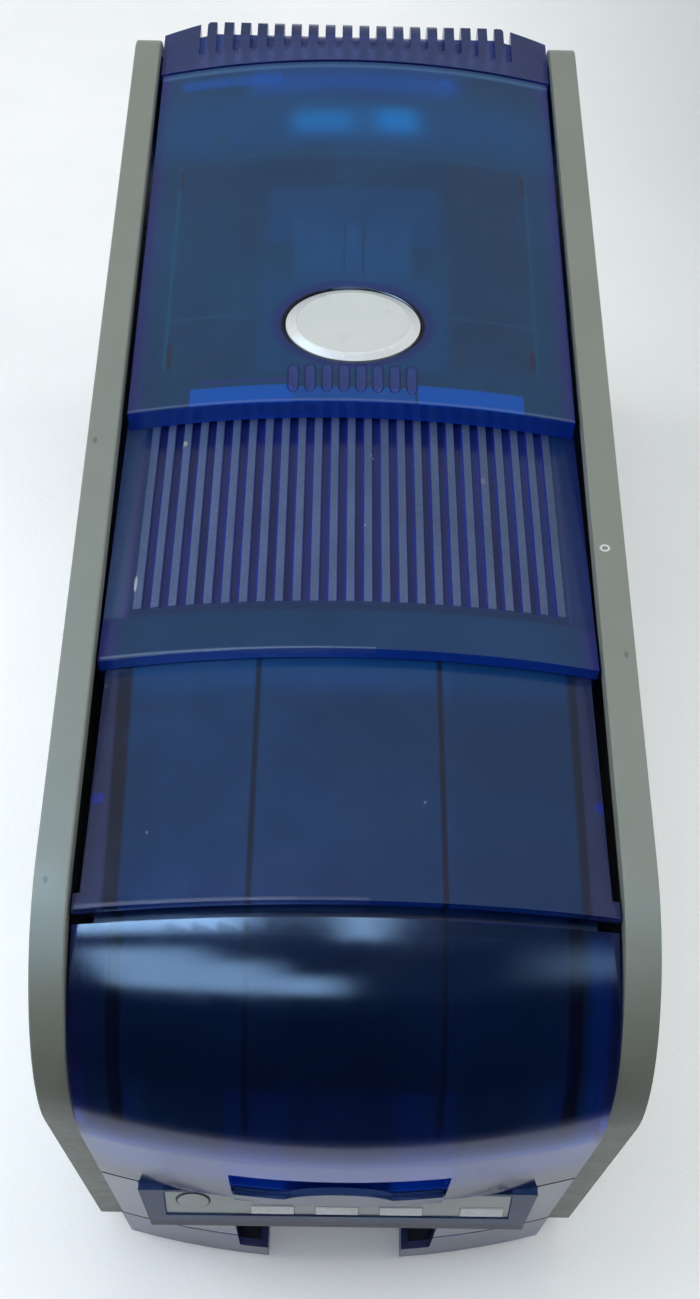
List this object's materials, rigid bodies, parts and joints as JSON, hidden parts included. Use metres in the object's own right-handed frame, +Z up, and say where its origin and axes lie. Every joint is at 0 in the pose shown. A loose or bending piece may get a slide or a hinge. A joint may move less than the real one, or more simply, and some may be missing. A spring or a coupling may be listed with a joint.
{
  "type": "id card printer",
  "caption": "Desktop ID card printer with grey side panels, translucent blue crowned covers, sliding hopper door, hinged rear cover and oval release button",
  "frame": {"origin": "middle of the machine in plan, on the table under the feet", "axes": "+X to the right as seen from the front, +Y from the front to the rear, +Z up"},
  "size_m": [0.175, 0.4403, 0.2243],
  "materials": {
    "clear_blue": "translucent deep blue polycarbonate, glossy",
    "panel_grey": "warm grey-green moulded plastic, satin",
    "lens_grey": "pale grey display lens, glossy",
    "board_green": "glass-fibre circuit board",
    "light_white": "milky white light guide and flat cable",
    "button_silver": "silver-white painted plastic",
    "inner_dark": "dark moulded inner plastic",
    "steel": "plain bright steel",
    "sheet_steel": "zinc-plated sheet steel",
    "aluminium": "plain aluminium",
    "head_ceramic": "glazed ceramic heater bar",
    "rubber_black": "black rubber",
    "cleaner_blue": "soft blue cleaning rubber",
    "bush_cream": "cream acetal",
    "film_black": "thin black ribbon film"
  },
  "bodies": {
    "frame": {"base": "clear_blue", "side_panel_left": "panel_grey", "side_panel_right": "panel_grey", "front_cover": "clear_blue", "front_bezel": "clear_blue", "display_frame": "clear_blue", "display_lens": "lens_grey", "display_module": "board_green", "status_lights": "light_white", "exception_slot": "clear_blue", "door_rails": "inner_dark", "ribbed_bridge": "clear_blue", "vent_comb": "clear_blue", "rear_panel": "inner_dark", "power_inlet": "inner_dark", "data_ports": "steel", "chassis_left": "sheet_steel", "chassis_right": "sheet_steel", "cross_bars": "steel", "input_hopper": "inner_dark", "output_tray": "inner_dark", "bushes": "bush_cream", "drive_belt": "rubber_black", "drive_motor": "sheet_steel", "ribbon_cartridge": "inner_dark", "ribbon_film": "film_black", "ribbon_motor": "sheet_steel", "main_board": "board_green", "display_cable": "light_white", "feet": "rubber_black", "screws": "steel"},
    "rear_lid": {"rear_cover": "clear_blue", "cover_pins": "steel", "printhead_carrier": "inner_dark", "printhead": "head_ceramic", "printhead_heatsink": "aluminium", "printhead_springs": "steel", "carrier_screws": "steel", "latch_spring": "steel"},
    "latch_push": {"latch_button": "button_silver"},
    "latch_hook": {"latch_lever": "inner_dark"},
    "door": {"hopper_door": "clear_blue"},
    "display_key": {"user_button": "button_silver"},
    "power_key": {"power_button": "panel_grey"},
    "pick_roller": {"pick_axle": "steel", "pick_sleeve": "rubber_black"},
    "entry_roller": {"entry_axle": "steel", "entry_sleeve": "rubber_black"},
    "platen": {"platen_axle": "steel", "platen_sleeve": "rubber_black"},
    "exit_roller": {"exit_axle": "steel", "exit_sleeve": "rubber_black"},
    "motor_shaft": {"motor_pulley": "steel"},
    "cleaner": {"cleaning_roller": "cleaner_blue"},
    "takeup": {"takeup_spool": "inner_dark", "takeup_gear": "bush_cream"},
    "supply": {"supply_spool": "inner_dark"},
    "ribbon_drive": {"ribbon_pinion": "bush_cream"}
  },
  "joints": [
    {"name": "rear_cover_hinge", "type": "hinge", "parent": "frame", "child": "rear_lid", "pos_m": [0, 0.16717, 0.2095], "axis": [-1, 0, 0], "range_deg": [0, 65]},
    {"name": "latch_press", "type": "slide", "parent": "rear_lid", "child": "latch_push", "axis": [0, 0, -1], "range_m": [0, 0.002], "stiffness_N_per_m": 500, "springref_m": -0.001, "deforming": ["latch_spring"]},
    {"name": "latch_release", "type": "hinge", "parent": "rear_lid", "child": "latch_hook", "pos_m": [0, 0.06236, 0.2037], "axis": [1, 0, 0], "range_deg": [0, 12]},
    {"name": "hopper_slide", "type": "slide", "parent": "frame", "child": "door", "axis": [0, 0.9957, -0.0928], "range_m": [0, 0.075]},
    {"name": "display_press", "type": "slide", "parent": "frame", "child": "display_key", "axis": [0, 0.9659, -0.2588], "range_m": [0, 0.001], "stiffness_N_per_m": 400, "springref_m": -0.0005},
    {"name": "power_press", "type": "slide", "parent": "frame", "child": "power_key", "axis": [0, -1, 0], "range_m": [0, 0.0025], "stiffness_N_per_m": 400, "springref_m": -0.001},
    {"name": "pick_turn", "type": "hinge", "parent": "frame", "child": "pick_roller", "pos_m": [0, -0.09484, 0.109], "axis": [1, 0, 0], "continuous": true},
    {"name": "entry_turn", "type": "hinge", "parent": "frame", "child": "entry_roller", "pos_m": [0, -0.01683, 0.109], "axis": [1, 0, 0], "continuous": true},
    {"name": "platen_turn", "type": "hinge", "parent": "frame", "child": "platen", "pos_m": [0, 0.06316, 0.109], "axis": [1, 0, 0], "continuous": true},
    {"name": "exit_turn", "type": "hinge", "parent": "frame", "child": "exit_roller", "pos_m": [0, 0.13517, 0.109], "axis": [1, 0, 0], "continuous": true},
    {"name": "motor_turn", "type": "hinge", "parent": "frame", "child": "motor_shaft", "pos_m": [0, 0.02317, 0.084], "axis": [1, 0, 0], "continuous": true},
    {"name": "cleaner_turn", "type": "hinge", "parent": "frame", "child": "cleaner", "pos_m": [0, -0.01683, 0.1272], "axis": [1, 0, 0], "continuous": true},
    {"name": "takeup_turn", "type": "hinge", "parent": "frame", "child": "takeup", "pos_m": [0, 0.01917, 0.147], "axis": [1, 0, 0], "continuous": true},
    {"name": "supply_turn", "type": "hinge", "parent": "frame", "child": "supply", "pos_m": [0, 0.11116, 0.147], "axis": [1, 0, 0], "continuous": true},
    {"name": "ribbon_drive_turn", "type": "hinge", "parent": "frame", "child": "ribbon_drive", "pos_m": [0, 0.01917, 0.126], "axis": [1, 0, 0], "continuous": true}
  ],
  "couplings": [
    {"joint": "latch_release", "follows": "latch_press", "rad_per_m": 104.72},
    {"joint": "pick_turn", "follows": "platen_turn", "ratio": 1},
    {"joint": "entry_turn", "follows": "platen_turn", "ratio": 1},
    {"joint": "exit_turn", "follows": "platen_turn", "ratio": 1},
    {"joint": "motor_turn", "follows": "platen_turn", "ratio": 1.4286},
    {"joint": "supply_turn", "follows": "takeup_turn", "ratio": 0.6875},
    {"joint": "ribbon_drive_turn", "follows": "takeup_turn", "ratio": -2.5}
  ]
}
